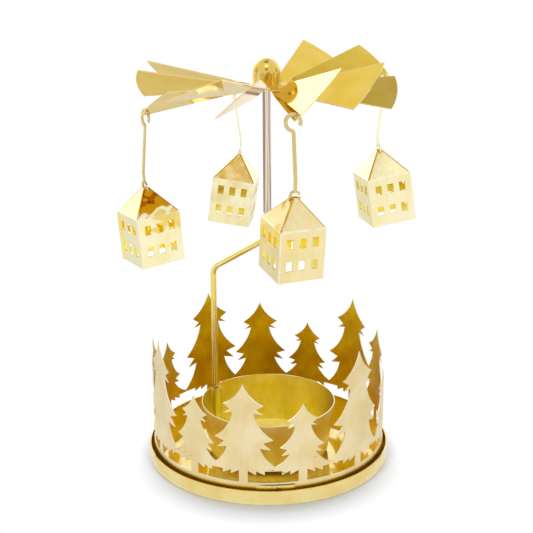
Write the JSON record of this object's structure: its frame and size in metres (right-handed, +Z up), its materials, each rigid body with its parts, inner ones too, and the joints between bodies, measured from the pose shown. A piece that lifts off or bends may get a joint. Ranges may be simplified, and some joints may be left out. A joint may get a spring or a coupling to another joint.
{
  "type": "rotary tealight carousel",
  "caption": "Rotary tealight carousel: a dish with a pine-tree fence and a candle cup, and a wire stand whose needle carries a bladed rotor with hanging folded-sheet houses.",
  "frame": {"origin": "centre of the dish's underside, on the rotor's axis, at the surface it stands on", "axes": "+Z up along the rotor's axis, -Y towards the viewer of the picture, +X to the viewer's right"},
  "size_m": [0.1093, 0.1084, 0.1541],
  "materials": {
    "dish_brass": "polished",
    "fence_brass": "fine brushed",
    "cup_brass": "satin",
    "wire_brass": "polished",
    "blade_brass": "mirror polished",
    "dome_brass": "mirror polished",
    "hook_brass": "satin",
    "house_brass": "fine brushed",
    "sleeve_steel": "drawn tube, satin"
  },
  "bodies": {
    "base": {"base_dish": "dish_brass", "tree_fence": "fence_brass", "tealight_cup": "cup_brass", "wire_stand": "wire_brass"},
    "rotor": {"rotor_blades": "blade_brass", "rotor_sleeve": "sleeve_steel", "rotor_dome": "dome_brass"},
    "hook_front": {"hook_front": "hook_brass"},
    "house_front": {"house_front": "house_brass"},
    "hook_left": {"hook_left": "hook_brass"},
    "house_left": {"house_left": "house_brass"},
    "hook_back": {"hook_back": "hook_brass"},
    "house_back": {"house_back": "house_brass"},
    "hook_right": {"hook_right": "hook_brass"},
    "house_right": {"house_right": "house_brass"}
  },
  "joints": [
    {"name": "rotor_spin", "type": "hinge", "parent": "base", "child": "rotor", "pos_m": [0, 0, 0.142], "axis": [0, 0, 1], "continuous": true},
    {"name": "hook_front_swing", "type": "hinge", "parent": "rotor", "child": "hook_front", "pos_m": [0.00997, -0.04325, 0.13942], "axis": [-0.9205, -0.3907, 0], "range_deg": [-12, 30]},
    {"name": "house_front_swing", "type": "hinge", "parent": "hook_front", "child": "house_front", "pos_m": [0.00899, -0.04532, 0.11306], "axis": [0.388, -0.9142, -0.117], "range_deg": [-15, 15]},
    {"name": "hook_left_swing", "type": "hinge", "parent": "rotor", "child": "hook_left", "pos_m": [-0.04116, -0.01604, 0.13592], "axis": [-0.515, 0.8572, 0], "range_deg": [-12, 30]},
    {"name": "house_left_swing", "type": "hinge", "parent": "hook_left", "child": "house_left", "pos_m": [-0.04307, -0.0152, 0.10951], "axis": [-0.8534, -0.5127, -0.0943], "range_deg": [-15, 15]},
    {"name": "hook_back_swing", "type": "hinge", "parent": "rotor", "child": "hook_back", "pos_m": [-0.01322, 0.04185, 0.13474], "axis": [0.1219, 0.9925, 0], "range_deg": [-12, 30]},
    {"name": "house_back_swing", "type": "hinge", "parent": "hook_back", "child": "house_back", "pos_m": [-0.01089, 0.04328, 0.10849], "axis": [-0.9824, 0.1206, 0.1427], "range_deg": [-15, 15]},
    {"name": "hook_right_swing", "type": "hinge", "parent": "rotor", "child": "hook_right", "pos_m": [0.04297, 0.01159, 0.14375], "axis": [0.2588, -0.9659, 0], "range_deg": [-12, 30]},
    {"name": "house_right_swing", "type": "hinge", "parent": "hook_right", "child": "house_right", "pos_m": [0.04135, 0.00939, 0.1175], "axis": [0.956, 0.2562, 0.1427], "range_deg": [-15, 15]}
  ]
}
